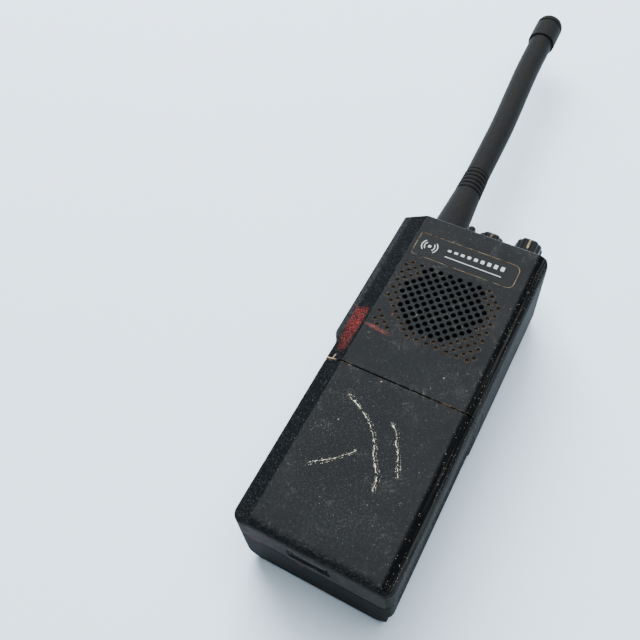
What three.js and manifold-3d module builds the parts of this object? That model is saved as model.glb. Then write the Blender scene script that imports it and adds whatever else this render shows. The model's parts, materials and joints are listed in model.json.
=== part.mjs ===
// Two way radio: a hand-held transceiver lying on its back.
// Millimetres. +X is to the right seen from the front, +Y runs up the radio
// towards the antenna, +Z points out of the front face. The pieces are drawn with
// the back resting on Z = 0 and the bottom end at Y = 0; the whole group is then
// moved so that its origin is the middle of the body's back.
import * as THREE from "three";
import { mergeVertices } from "three/addons/utils/BufferGeometryUtils.js";
import Module from "manifold-3d";

const wasm = await Module();
wasm.setup();

// ---- Driving dimensions -----------------------------------------------------

const GAP = 0.3;                 // clearance between neighbouring pieces
const WALL = 2.2;                // thickness of the moulded shells

const body = {
  left: -30.2, right: 29, height: 137.4, depth: 41.6,
  flatLeft: -20.6, flatRight: 24.4,   // edges of the flat front face
  facetSlope: 0.6,                    // drop of the left front facet per mm
  roundDrop: 5.1,                     // height of the rounded right front edge
  backRadius: 7,
};
const waist = {                  // the side steps in below the talk key
  left: -27.6, frontLow: 72, frontHigh: 78, rearLow: 67, rearHigh: 75,
};
const SEAM_Y = 64.6;             // radio above, battery pack below, on the front
const REAR_SEAM_Y = 75.2;        // the same joint behind the parting plane
const PARTING_Z = 25.7;          // front and rear shells of the pack
const COVER_Z = 5.2;             // rear cover to front housing
const RIM_RADIUS = 3.7;          // front bottom edge
const footCorner = { left: 3, right: 4.5 };   // upright edges of the bottom end
const belly = { inset: 1.6, top: 12, radius: 5 };
const ribs = { first: 14.2, pitch: 2.7, groove: 1.2, depth: 0.7, low: 5, stop: 6 };

const grille = { x: 0.8, topY: 113.5, step: 1.89, rows: 17, middle: 9, holeRadius: 0.95 };
const plate = { left: -18.9, right: 20.6, low: 117.9, high: 128.5, thick: 0.55, depth: 0.9 };
const speaker = { x: 0.8, y: 98.4, radius: 16, front: 38.4, rear: 29 };
const mic = { x: -15.4, y: 86.1, radius: 3, front: 38.4, rear: 35.4 };

const panel = { low: 77, high: 134, rear: 7.6, front: 33.6, face: -29.6, thick: 1.6 };
const keyFlange = { out: -27.6, in: -26.8, margin: 1 };
const talkKey = { y: 93.2, z: 20.6, tipY: 16.2, tipZ: 4.6, reach: [-15.6, 13.2], swell: [4, 3.4] };
const sideKey = { z: 20.6, tipY: 2.9, tipZ: 4.8, reach: [-3.4, -0.5], swell: [-0.6, 4.9] };
const sideKeyYs = [115.6, 124.4];
const domeBoard = { left: -24.8, right: -24, low: 78, high: 132, rear: 9, front: 32 };

const CONTROL_Z = 23;            // axis height of the knobs and the antenna
const volume = { x: 17.5, knobTop: 155.1 };
const channel = { x: 2.6, knobTop: 151.7 };
const knob = { radius: 5.3, flute: 0.35, flutes: 12, base: 138.2, chamfer: 1.9 };
const shaft = { radius: 2, bushRadius: 3.5, hole: 3.9, bore: 2.3 };
const led = { x: -3.8, z: 36, radius: 1.7, top: 143 };

const antenna = {
  x: -15, base: 139.1, baseRadius: 7.4, shoulderY: 150, shoulderRadius: 6.9,
  neckY: 168.4, neckRadius: 5.75, ribTop: 180, ribs: 5, ribDepth: 0.55,
  whipLow: 5.2, whipHigh: 5.5, whipTop: 279, bore: 3.4,
  capLow: 274.6, capTop: 291.2, capRadius: 6.4,
};
// The whip has taken a slight set: it leans to the left, and more so along its middle.
const lean = { from: 150, slope: 0.033, bendLow: 205, bendHigh: 262, bend: 1.9 };
const coil = { radius: 2.3, turns: 12, low: 154, high: 270, stepsPerTurn: 8, wire: 0.5 };
const stud = { radius: 3, low: 131, high: 150 };
const bushing = { outer: 4.6, inner: 3.3, flange: 5.6, low: 128, top: 138.8 };

const cell = { radius: 7.9, low: 10.6, high: 60.6, pitch: 16.1, x: 0.85, z: 10.6 };
const slot = { left: -6, right: 7, low: 30.2, high: 34.2 };
const latch = { left: -5.4, right: 6.4, barLow: 37.2, barHigh: 38.7, top: 67.4 };
const spring = { x: 0.5, z: 32.2, radius: 1.6, low: 5.3, high: 8.9, seat: 10.2 };
const tongue = { x: 19, halfWidth: 3, low: 62, z: 8, thick: 2.2 };
const frame = { left: -21.8, right: 26, top: 134.6, floor: 5.8, floorThick: 1.6, wallThick: 1.8 };
const board = { left: -21, right: 25.4, thick: 1.2 };
const rfBoardZ = 14;
const controlBoardZ = 24.6;
const contactXs = [-8, 0.8, 9.6];
const CONTACT_Z = 14;
const screwXs = [-21, 22];
const screwYs = [84, 128];

// ---- Solids -----------------------------------------------------------------

function solidOf(geometry) {
  const bare = geometry.clone();
  bare.deleteAttribute("normal");
  bare.deleteAttribute("uv");
  const merged = mergeVertices(bare, 1e-4);
  const mesh = new wasm.Mesh({
    numProp: 3,
    vertProperties: new Float32Array(merged.attributes.position.array),
    triVerts: new Uint32Array(merged.index.array),
  });
  return new wasm.Manifold(mesh);
}

function geometryOf(solid) {
  const mesh = solid.getMesh();
  const geometry = new THREE.BufferGeometry();
  geometry.setAttribute("position", new THREE.BufferAttribute(mesh.vertProperties, 3));
  geometry.setIndex(new THREE.BufferAttribute(mesh.triVerts, 1));
  return geometry;
}

const cut = (base, ...tools) =>
  geometryOf(tools.reduce((rest, tool) => rest.subtract(solidOf(tool)), solidOf(base)));
const join = (first, ...others) =>
  geometryOf(others.reduce((sum, other) => sum.add(solidOf(other)), solidOf(first)));
const common = (a, b) => geometryOf(solidOf(a).intersect(solidOf(b)));

function block(x0, x1, y0, y1, z0, z1) {
  const box = new THREE.BoxGeometry(x1 - x0, y1 - y0, z1 - z0);
  return box.translate((x0 + x1) / 2, (y0 + y1) / 2, (z0 + z1) / 2);
}

function rodY(radius, y0, y1, x, z, sides = 20) {
  const rod = new THREE.CylinderGeometry(radius, radius, y1 - y0, sides);
  return rod.translate(x, (y0 + y1) / 2, z);
}

function rodZ(radius, z0, z1, x, y, sides = 20) {
  const rod = new THREE.CylinderGeometry(radius, radius, z1 - z0, sides);
  return rod.rotateX(Math.PI / 2).translate(x, y, (z0 + z1) / 2);
}

// Extrusions of an outline drawn in (x, z), (y, z) and (x, y).
function alongY(outline, y0, y1, curveSegments = 6) {
  const solid = new THREE.ExtrudeGeometry(outline, { depth: y1 - y0, bevelEnabled: false, curveSegments });
  return solid.rotateX(Math.PI / 2).translate(0, y1, 0);
}

function alongX(outline, x0, x1, curveSegments = 6) {
  const solid = new THREE.ExtrudeGeometry(outline, { depth: x1 - x0, bevelEnabled: false, curveSegments });
  return solid.rotateX(Math.PI / 2).rotateZ(Math.PI / 2).translate(x0, 0, 0);
}

function alongZ(outline, z0, z1, curveSegments = 6) {
  const solid = new THREE.ExtrudeGeometry(outline, { depth: z1 - z0, bevelEnabled: false, curveSegments });
  return solid.translate(0, 0, z0);
}

// A closed profile of [radius, height] points turned about the Y direction.
function turned(profile, x, z, sides = 20) {
  const points = [...profile, profile[0]].map(([radius, y]) => new THREE.Vector2(radius, y));
  if (THREE.ShapeUtils.area(points) < 0) points.reverse();
  const solid = geometryOf(solidOf(new THREE.LatheGeometry(points, sides)));
  return solid.translate(x, 0, z);
}

const polygon = (points) => new THREE.Shape(points.map(([a, b]) => new THREE.Vector2(a, b)));

const parts = new THREE.Group();
const finishes = {
  shell: { color: 0x34373a, roughness: 0.55, metalness: 0 },
  sheath: { color: 0x1c1e1f, roughness: 0.5, metalness: 0 },
  key: { color: 0x6c6a5a, roughness: 0.8, metalness: 0 },
  trim: { color: 0x202326, roughness: 0.35, metalness: 0 },
  felt: { color: 0x0c0c0c, roughness: 0.95, metalness: 0 },
  board: { color: 0x1f5a3c, roughness: 0.5, metalness: 0 },
  cast: { color: 0x9a9ea3, roughness: 0.45, metalness: 1 },
  tin: { color: 0xb9bcc0, roughness: 0.35, metalness: 1 },
  brass: { color: 0xb08a4a, roughness: 0.35, metalness: 1 },
  steel: { color: 0x8d9196, roughness: 0.3, metalness: 1 },
  wrap: { color: 0x2f4d7a, roughness: 0.45, metalness: 0 },
  lens: { color: 0x5a1512, roughness: 0.2, metalness: 0 },
};

function addPart(name, finish, geometry) {
  const material = new THREE.MeshStandardMaterial(finishes[finish]);
  const part = new THREE.Mesh(geometry, material);
  part.name = name;
  parts.add(part);
}

// ---- Shared outlines --------------------------------------------------------

// Cross-section of the body in (x, z), moved inwards by inset.
function bodySection(inset) {
  const left = body.left + inset;
  const right = body.right - inset;
  const back = inset;
  const front = body.depth - inset;
  const radius = body.backRadius - inset;
  const facetInset = inset * Math.hypot(1, body.facetSlope);
  const facetEdge = body.depth - facetInset - body.facetSlope * (body.flatLeft - left);
  const flatStart = body.flatLeft + (facetInset - inset) / body.facetSlope;
  const section = new THREE.Shape();
  section.moveTo(left + radius, back);
  section.absarc(right - radius, back + radius, radius, -Math.PI / 2, 0);
  section.absellipse(body.flatRight, body.depth - body.roundDrop,
    right - body.flatRight, body.roundDrop - inset, 0, Math.PI / 2);
  section.lineTo(flatStart, front);
  section.lineTo(left, facetEdge);
  section.absarc(left + radius, back + radius, radius, Math.PI, 1.5 * Math.PI);
  return section;
}

// What the waist takes off the left side between two heights.
function waistCut(low, high, z0, z1, inset = 0) {
  const outer = body.left - 5;
  return alongZ(polygon([
    [outer, -5], [waist.left + inset, -5], [waist.left + inset, low],
    [body.left + inset, high], [outer, high],
  ]), z0, z1);
}

function roundedBox(left, right, low, high, radius) {
  const outline = new THREE.Shape();
  outline.moveTo(left + radius, low);
  outline.absarc(right - radius, low + radius, radius, -Math.PI / 2, 0);
  outline.absarc(right - radius, high - radius, radius, 0, Math.PI / 2);
  outline.absarc(left + radius, high - radius, radius, Math.PI / 2, Math.PI);
  outline.absarc(left + radius, low + radius, radius, Math.PI, 1.5 * Math.PI);
  return outline;
}

// A leaf with two pointed and two full corners, the same turned half round.
function leaf(key, y, z, margin = 0) {
  const grow = 1 + margin / key.tipZ;
  const growY = 1 + margin / Math.max(key.tipY, key.tipZ);
  const [tipY, tipZ] = [key.tipY * growY, key.tipZ * grow];
  const [reachY, reachZ] = [key.reach[0] * growY, key.reach[1] * grow];
  const [swellY, swellZ] = [key.swell[0] * growY, key.swell[1] * grow];
  const outline = new THREE.Shape();
  outline.moveTo(y - tipY, z - tipZ);
  outline.bezierCurveTo(y + reachY, z + reachZ, y + swellY, z + swellZ, y + tipY, z + tipZ);
  outline.bezierCurveTo(y - reachY, z - reachZ, y - swellY, z - swellZ, y - tipY, z - tipZ);
  return outline;
}

// ---- Radio housing ----------------------------------------------------------

function grilleHoles() {
  const holes = [];
  for (let row = 0; row < grille.rows; row += 1) {
    for (let column = -1; column <= 19; column += 1) {
      const onLattice = (column + row) % 2 === 0;
      const overSpeaker = column <= row + 16 && column >= row - 10;
      const overMic = row >= 13 && column <= row - 14;
      if (!onLattice || !(overSpeaker || overMic)) continue;
      const x = grille.x + (column - grille.middle) * grille.step;
      const y = grille.topY - row * grille.step;
      holes.push(rodZ(grille.holeRadius, body.depth - WALL - 1, body.depth + 1, x, y, 6));
    }
  }
  return holes;
}

function frontHousing() {
  const low = SEAM_Y + GAP / 2;
  const shell = alongY(bodySection(0), low, body.height);
  const room = alongY(bodySection(WALL), low + WALL, body.height - WALL);
  const behindPack = block(body.left - 1, body.right + 1, low - 1, REAR_SEAM_Y + GAP / 2,
    -1, PARTING_Z + GAP / 2);
  const belowCover = block(body.left - 1, body.right + 1, low - 1, body.height + 1, -1, COVER_Z + GAP / 2);
  const panelHole = alongX(roundedBox(panel.low, panel.high, panel.rear, panel.front, 2),
    body.left - 1, body.left + WALL + 1, 3);
  const plateHole = alongZ(
    roundedBox(plate.left - GAP, plate.right + GAP, plate.low - GAP, plate.high + GAP, 1.5),
    body.depth - plate.depth, body.depth + 1, 3);
  const [deckLow, deckHigh] = [body.height - WALL - 1, body.height + 1];
  const deckHoles = [
    rodY(shaft.hole, deckLow, deckHigh, volume.x, CONTROL_Z),
    rodY(shaft.hole, deckLow, deckHigh, channel.x, CONTROL_Z),
    rodY(bushing.outer + GAP, deckLow, deckHigh, antenna.x, CONTROL_Z),
    rodY(led.radius + GAP, deckLow, deckHigh, led.x, led.z, 12),
  ];
  const latchHole = block(latch.left - 1, latch.right + 1, low - 1, low + WALL + 1,
    latch.barLow - 0.6, latch.barHigh + 0.4);
  return cut(shell, room, behindPack, belowCover, waistCut(waist.frontLow, waist.frontHigh, -1, 50),
    panelHole, plateHole, latchHole, ...deckHoles, ...grilleHoles());
}

function rearCover() {
  const low = REAR_SEAM_Y + GAP / 2;
  const shell = alongY(bodySection(0), low, body.height);
  const room = alongY(bodySection(WALL), low - 1, body.height - WALL);
  const above = block(body.left - 1, body.right + 1, low - 1, body.height + 1, COVER_Z - GAP / 2, 60);
  const waistLine = waistCut(waist.frontLow, waist.frontHigh, -1, 50);
  const screwHoles = screwXs.flatMap((x) => screwYs.flatMap((y) => [
    rodZ(1.5, -1, 4, x, y, 12),
    rodZ(2.9, -1, 1.2, x, y, 16),
  ]));
  return cut(shell, room, above, waistLine, ...screwHoles);
}

function housingScrew(x, y) {
  return join(rodZ(2.5, 0.1, 0.9, x, y, 16), rodZ(1.2, 0.5, 12, x, y, 10));
}

addPart("front_housing", "shell", frontHousing());
addPart("rear_cover", "shell", rearCover());
addPart("nameplate", "trim", alongZ(roundedBox(plate.left, plate.right, plate.low, plate.high, 1.2),
  body.depth - plate.thick, body.depth, 3));
screwXs.forEach((x, column) => screwYs.forEach((y, row) => {
  addPart(`housing_screw_${column * screwYs.length + row + 1}`, "steel", housingScrew(x, y));
}));

// ---- Side panel and its keys ------------------------------------------------

const keys = [
  { name: "talk_key", form: talkKey, y: talkKey.y },
  ...sideKeyYs.map((y, index) => ({ name: `side_key_${index + 1}`, form: sideKey, y })),
];

function sidePanel() {
  const frame = alongX(
    roundedBox(panel.low + GAP, panel.high - GAP, panel.rear + GAP, panel.front - GAP, 1.7),
    panel.face, panel.face + panel.thick, 3);
  const holes = keys.map(({ form, y }) =>
    alongX(leaf(form, y, form.z, GAP), panel.face - 1, panel.face + panel.thick + 1));
  return cut(frame, ...holes);
}

function key({ form, y }) {
  const cap = alongX(leaf(form, y, form.z), body.left, keyFlange.out + 0.2);
  const flange = alongX(leaf(form, y, form.z, keyFlange.margin), keyFlange.out, keyFlange.in);
  return join(cap, flange);
}

addPart("side_panel", "trim", sidePanel());
keys.forEach((item) => addPart(item.name, "key", key(item)));
addPart("dome_board", "board", block(domeBoard.left, domeBoard.right, domeBoard.low, domeBoard.high,
  domeBoard.rear, domeBoard.front));

// ---- Speaker and microphone -------------------------------------------------

function speakerFrame() {
  const { radius, front, rear } = speaker;
  const basket = [
    [radius, front], [radius, front - 1], [radius - 1.4, front - 1.4], [10, rear + 4],
    [8.4, rear + 4], [8.4, rear + 5], [9.6, rear + 5.2], [radius - 2.4, front - 0.6],
    [radius - 2.4, front],
  ];
  return turned(basket, 0, 0, 24).rotateX(Math.PI / 2).translate(speaker.x, speaker.y, 0);
}

function speakerCone() {
  const front = speaker.front - 0.2;
  const cone = [
    [13, front], [12.4, front], [4.4, front - 3.6], [0, front - 2.4], [0, front - 3], [4, front - 4.2],
  ];
  return turned(cone, 0, 0, 24).rotateX(Math.PI / 2).translate(speaker.x, speaker.y, 0);
}

addPart("speaker_felt", "felt", rodZ(speaker.radius + 0.4, 38.7, 39.1, speaker.x, speaker.y, 24));
addPart("speaker_frame", "steel", speakerFrame());
addPart("speaker_cone", "felt", speakerCone());
addPart("speaker_magnet", "steel", rodZ(8, speaker.rear, speaker.rear + 3.6, speaker.x, speaker.y, 24));
addPart("microphone", "cast", rodZ(mic.radius, mic.rear, mic.front, mic.x, mic.y, 16));
addPart("microphone_boot", "sheath", cut(
  rodZ(mic.radius + 0.6, mic.rear - 0.8, mic.front + 0.3, mic.x, mic.y, 16),
  rodZ(mic.radius + GAP, mic.rear - 2, mic.front + 2, mic.x, mic.y, 16)));

// ---- Chassis, boards and screens --------------------------------------------

function chassis() {
  const { left, right, top, floor: floorZ, floorThick, wallThick } = frame;
  const low = REAR_SEAM_Y + 2 * GAP;
  const wallTop = PARTING_Z + wallThick;
  const floor = block(left, right, low, top, floorZ, floorZ + floorThick);
  const endWall = block(left, right, low, low + wallThick, floorZ, wallTop);
  const shelf = block(left, right, SEAM_Y + WALL + 1, low + wallThick, PARTING_Z + 2 * GAP, wallTop);
  const tongues = [-tongue.x, tongue.x].map((x) => block(x - tongue.halfWidth, x + tongue.halfWidth,
    tongue.low, low + 1, tongue.z, tongue.z + tongue.thick));
  const bosses = screwXs.flatMap((x) => screwYs.map((y) => rodZ(3, 6, 13, Math.max(x, left + 2.4), y, 12)));
  const threads = screwXs.flatMap((x) => screwYs.map((y) => rodZ(1.5, 4, 14, x, y, 12)));
  const contactHoles = contactXs.map((x) => rodY(1.6, low - 1, low + 3, x, CONTACT_Z, 10));
  return cut(join(floor, endWall, shelf, ...tongues, ...bosses), ...threads, ...contactHoles);
}

function screen(x0, x1, y0, y1, z0, z1) {
  return cut(block(x0, x1, y0, y1, z0, z1), block(x0 + 0.4, x1 - 0.4, y0 + 0.4, y1 - 0.4, z0 - 1, z1 - 0.4));
}

addPart("chassis", "cast", chassis());
addPart("rf_board", "board", block(board.left, board.right, 79, 122, rfBoardZ, rfBoardZ + board.thick));
const canLow = rfBoardZ + board.thick + GAP + 0.1;
[["transmitter_screen", -19, 1], ["receiver_screen", 3, 24]].forEach(([name, left, right]) => {
  addPart(name, "tin", screen(left, right, 82, 118, canLow, canLow + 3.4));
});
addPart("control_board", "board",
  block(board.left, board.right, 79.6, 118, controlBoardZ, controlBoardZ + board.thick));
const chipLow = controlBoardZ + board.thick + GAP + 0.1;
addPart("main_processor", "felt", block(-8, 6, 92, 106, chipLow, chipLow + 1.4));
contactXs.forEach((x, index) => {
  addPart(`radio_contact_${index + 1}`, "brass", rodY(1.2, 73.4, 78.6, x, CONTACT_Z, 10));
});

// ---- Knobs and their switches -----------------------------------------------

function controlBase(x) {
  const can = block(x - 6, x + 6, 125, 134.8, CONTROL_Z - 6, CONTROL_Z + 6);
  const bush = rodY(shaft.bushRadius, 134, 140.4, x, CONTROL_Z, 16);
  return cut(join(can, bush), rodY(shaft.bore, 128, 141, x, CONTROL_Z, 12));
}

function controlKnob({ x, knobTop }) {
  const outline = new THREE.Shape();
  const steps = knob.flutes * 4;
  for (let step = 0; step <= steps; step += 1) {
    const angle = (step / steps) * 2 * Math.PI;
    const radius = knob.radius + knob.flute * Math.cos(knob.flutes * angle);
    const point = [x + radius * Math.sin(angle), CONTROL_Z + radius * Math.cos(angle)];
    if (step === 0) outline.moveTo(...point);
    else outline.lineTo(...point);
  }
  const outer = knob.radius + knob.flute;
  const envelope = turned([
    [0, knob.base], [outer, knob.base], [outer - 0.3, knobTop - knob.chamfer],
    [outer - knob.chamfer, knobTop], [0, knobTop],
  ], x, CONTROL_Z, 24);
  const grip = common(alongY(outline, knob.base, knobTop), envelope);
  const socket = rodY(shaft.bore, knob.base - 1, knobTop - 1.6, x, CONTROL_Z, 12);
  const recess = rodY(shaft.bushRadius + 0.4, knob.base - 1, 140.9, x, CONTROL_Z, 16);
  const pointer = block(x - 0.5, x + 0.5, knobTop - 7, knobTop + 1,
    CONTROL_Z + outer - 1.1, CONTROL_Z + outer + 1);
  return cut(grip, socket, recess, pointer);
}

[["volume", volume], ["channel", channel]].forEach(([name, control]) => {
  addPart(`${name}_switch`, "steel", controlBase(control.x));
  addPart(`${name}_shaft`, "steel", rodY(shaft.radius, 128.4, control.knobTop - 2, control.x, CONTROL_Z, 12));
  addPart(`${name}_knob`, "trim", controlKnob(control));
});

addPart("led_lens", "lens", join(rodY(led.radius, 134, led.top, led.x, led.z, 12),
  rodY(led.radius + 0.8, 133.4, 134.8, led.x, led.z, 12)));

// ---- Antenna ----------------------------------------------------------------

const leanAt = (y) => lean.slope * Math.max(0, y - lean.from)
  + lean.bend * THREE.MathUtils.smoothstep(y, lean.bendLow, lean.bendHigh);

function leaned(geometry) {
  const place = geometry.attributes.position;
  for (let index = 0; index < place.count; index += 1) {
    place.setX(index, place.getX(index) - leanAt(place.getY(index)));
  }
  return geometry;
}

const WHIP_STEPS = 8;

function antennaSheath() {
  const { neckY, ribTop, ribs, ribDepth, neckRadius, whipLow, whipHigh, whipTop } = antenna;
  const pitch = (ribTop - neckY) / ribs;
  const outer = [
    [antenna.baseRadius, antenna.base], [antenna.shoulderRadius, antenna.shoulderY], [neckRadius, neckY],
  ];
  for (let rib = 0; rib < ribs; rib += 1) {
    const low = neckY + rib * pitch;
    const radius = neckRadius - (rib + 1) * (neckRadius - whipLow) / (ribs + 1);
    outer.push([radius - ribDepth, low + 0.2 * pitch], [radius - ribDepth, low + 0.4 * pitch]);
    outer.push([radius, low + 0.6 * pitch], [radius, low + pitch]);
  }
  const whip = [];
  const inner = [];
  for (let step = 1; step <= WHIP_STEPS; step += 1) {
    const part = step / WHIP_STEPS;
    whip.push([whipLow + part * (whipHigh - whipLow), ribTop + part * (whipTop - ribTop)]);
    inner.push([antenna.bore, whipTop - part * (whipTop - lean.from)]);
  }
  const bore = [[antenna.bore, whipTop], ...inner, [antenna.bore, antenna.base]];
  return leaned(turned([...outer, ...whip, ...bore], antenna.x, CONTROL_Z, 18));
}

function antennaCap() {
  const { capLow, capTop, capRadius, whipHigh, whipTop } = antenna;
  const profile = [
    [whipHigh + GAP, capLow], [capRadius, capLow + 0.6], [capRadius, capTop - 4.6],
    [capRadius - 0.5, capTop - 4.2], [capRadius - 0.7, capTop - 2.4], [capRadius - 2.4, capTop - 0.6],
    [0, capTop], [0, whipTop + GAP], [whipHigh + GAP, whipTop + GAP],
  ];
  return leaned(turned(profile, antenna.x, CONTROL_Z, 18));
}

class CoilPath extends THREE.Curve {
  getPoint(part) {
    const angle = part * coil.turns * 2 * Math.PI;
    const y = coil.low + part * (coil.high - coil.low);
    return new THREE.Vector3(antenna.x - leanAt(y) + coil.radius * Math.cos(angle), y,
      CONTROL_Z + coil.radius * Math.sin(angle));
  }
}

function antennaCoil() {
  const wire = new THREE.Shape();
  wire.absarc(0, 0, coil.wire, 0, 2 * Math.PI);
  return new THREE.ExtrudeGeometry(wire, {
    extrudePath: new CoilPath(), steps: coil.turns * coil.stepsPerTurn,
    bevelEnabled: false, curveSegments: 2,
  });
}

addPart("antenna_bushing", "brass", cut(
  join(rodY(bushing.outer, bushing.low, bushing.top, antenna.x, CONTROL_Z),
    rodY(bushing.flange, body.height + GAP, bushing.top, antenna.x, CONTROL_Z)),
  rodY(bushing.inner, bushing.low - 1, bushing.top + 1, antenna.x, CONTROL_Z)));
addPart("antenna_stud", "brass", rodY(stud.radius, stud.low, stud.high, antenna.x, CONTROL_Z, 16));
addPart("antenna_coil", "brass", antennaCoil());
addPart("antenna_sheath", "sheath", antennaSheath());
addPart("antenna_cap", "sheath", antennaCap());

// ---- Battery pack -----------------------------------------------------------

const FAR = 100;                 // past the edge of any piece

// Side view of the pack in (y, z): the front bottom edge is rounded.
function packSide(inset) {
  const outline = new THREE.Shape();
  const radius = RIM_RADIUS - inset;
  outline.moveTo(FAR, -FAR);
  outline.lineTo(FAR, body.depth - inset);
  outline.absarc(inset + radius, body.depth - inset - radius, radius, Math.PI / 2, Math.PI);
  outline.lineTo(inset, -FAR);
  return outline;
}

// Front view of the pack in (x, y): the upright edges of the bottom end are rounded.
function packFront(inset) {
  const outline = new THREE.Shape();
  const [left, right] = [waist.left + inset, body.right - inset];
  const [leftRadius, rightRadius] = [footCorner.left - inset, footCorner.right - inset];
  outline.moveTo(right, FAR);
  outline.lineTo(-FAR, FAR);
  outline.lineTo(-FAR, waist.rearLow / 2);
  outline.lineTo(left, waist.rearLow / 2);
  outline.absarc(left + leftRadius, inset + leftRadius, leftRadius, Math.PI, 1.5 * Math.PI);
  outline.absarc(right - rightRadius, inset + rightRadius, rightRadius, 1.5 * Math.PI, 2 * Math.PI);
  return outline;
}

function packBlock(inset, top) {
  const section = alongY(bodySection(inset), -2, top);
  const side = alongX(packSide(inset), body.left - 2, body.right + 2);
  const front = alongZ(packFront(inset), -1, body.depth + 1);
  return cut(common(common(section, side), front),
    waistCut(waist.rearLow, waist.rearHigh, -1, 50, inset));
}

// The belly below the ribbed sides is narrower than the pack.
function bellyCuts() {
  const { inset, top, radius } = belly;
  const left = waist.left + inset;
  const right = body.right - inset;
  const around = polygon([[-FAR, -FAR], [FAR, -FAR], [FAR, top], [-FAR, top]]);
  const keep = new THREE.Path();
  keep.moveTo(left, top - 0.2);
  keep.lineTo(left, radius);
  keep.absarc(left + radius, radius, radius, Math.PI, 1.5 * Math.PI);
  keep.absarc(right - radius, radius, radius, 1.5 * Math.PI, 2 * Math.PI);
  keep.lineTo(right, top - 0.2);
  around.holes.push(keep);
  const frame = alongY(around, -3, waist.rearLow, 4);
  return cut(frame, block(left, right, -4, waist.rearLow + 1, top - 0.4, top + 1));
}

// Lengthwise grooves that leave ribs standing on both sides.
function ribGrooves() {
  const grooves = [];
  for (let z = ribs.first; z < PARTING_Z - 1; z += ribs.pitch) {
    const [low, high] = [ribs.low, REAR_SEAM_Y - ribs.stop];
    grooves.push(block(waist.left - 1, waist.left + ribs.depth, low, high, z, z + ribs.groove));
    grooves.push(block(body.right - ribs.depth, body.right + 1, low, high, z, z + ribs.groove));
  }
  return grooves;
}

function packRearShell() {
  const top = REAR_SEAM_Y - GAP / 2;
  const above = block(-FAR, FAR, -FAR, FAR, PARTING_Z - GAP / 2, FAR);
  const room = cut(packBlock(WALL + 0.2, top - WALL), ...bellyWalls());
  const tongueSlots = [-tongue.x, tongue.x].map((x) => block(x - tongue.halfWidth - 0.5,
    x + tongue.halfWidth + 0.5, top - WALL - 1, top + 1, tongue.z - 0.5, tongue.z + tongue.thick + 0.5));
  const contactHoles = contactXs.map((x) => rodY(1.8, top - WALL - 1, top + 1, x, CONTACT_Z, 10));
  const chargeHoles = contactXs.map((x) => block(x - 2.8, x + 2.8, 8.7, 17.3, -1, 0.9));
  return cut(packBlock(0, top), room, above, bellyCuts(), ...ribGrooves(), ...tongueSlots,
    ...contactHoles, ...chargeHoles);
}

// Keeps the walls of the belly as thick as the rest of the shell.
function bellyWalls() {
  const inner = belly.inset + WALL;
  const [high, top] = [waist.rearLow + WALL, belly.top + WALL];
  return [
    block(-FAR, waist.left + inner, -5, high, -5, top),
    block(body.right - inner, FAR, -5, high, -5, top),
  ];
}

function packFrontShell() {
  const top = SEAM_Y - GAP / 2;
  const below = block(-FAR, FAR, -5, FAR, -5, PARTING_Z + GAP / 2);
  const latchSlot = block(slot.left, slot.right, -1, WALL + 1, slot.low, slot.high);
  const barSlot = block(latch.left - 1, latch.right + 1, top - WALL - 1, top + 1,
    latch.barLow - 0.6, latch.barHigh + 0.4);
  const shell = cut(packBlock(0, top), packBlock(WALL, top - WALL), below, latchSlot, barSlot);
  return join(shell, ...springSeat());
}

// A bridge hung from the front wall, around the latch bar.
function springSeat() {
  const { seat, high } = spring;
  const [left, right] = [latch.left - 1, latch.right + 1];
  const [low, top] = [high + GAP, body.depth - WALL + 0.5];
  const legInside = 1.6;
  return [
    block(left, right, low, seat, spring.z - 2.6, latch.barLow - 0.6),
    block(left, left + legInside, low, seat, latch.barLow - 0.8, top),
    block(right - legInside, right, low, seat, latch.barLow - 0.8, top),
  ];
}

function packLatch() {
  const tab = block(latch.left, latch.right, 0.6, 3.6, slot.low + 0.6, slot.high - 0.6);
  const riser = block(latch.left, latch.right, 3, 5, slot.low + 0.6, latch.barHigh);
  const bar = block(latch.left + 2, latch.right - 2, 4, latch.top, latch.barLow, latch.barHigh);
  return join(tab, riser, bar);
}

addPart("battery_front_shell", "shell", packFrontShell());
addPart("battery_rear_shell", "shell", packRearShell());
[0, 1].forEach((layer) => [-1, 0, 1].forEach((column) => {
  const name = `battery_cell_${layer * 3 + column + 2}`;
  addPart(name, "wrap", rodY(cell.radius, cell.low, cell.high,
    cell.x + column * cell.pitch, cell.z + layer * cell.pitch, 20));
}));
addPart("battery_latch", "trim", packLatch());
addPart("latch_spring", "steel", cut(rodY(spring.radius, spring.low, spring.high, spring.x, spring.z, 10),
  rodY(spring.radius - 0.6, spring.low - 1, spring.high + 1, spring.x, spring.z, 10)));
addPart("terminal_board", "board", block(-14, 15.6, 69.6, 70.8, 9, 19));
contactXs.forEach((x, index) => {
  addPart(`charge_contact_${index + 1}`, "brass", block(x - 2.5, x + 2.5, 9, 17, 0.1, 0.6));
});

parts.position.y = -body.height / 2;

export default parts;
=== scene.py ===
"""Two way radio: the looks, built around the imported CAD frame.

Design sizes are millimetres in the part's own directions, with Y measured from the
bottom end and Z from the back, and become metres in the frame at the last moment.
"""
import itertools
import json
import math

import bmesh
import bpy
from mathutils import Matrix, Vector


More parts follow.
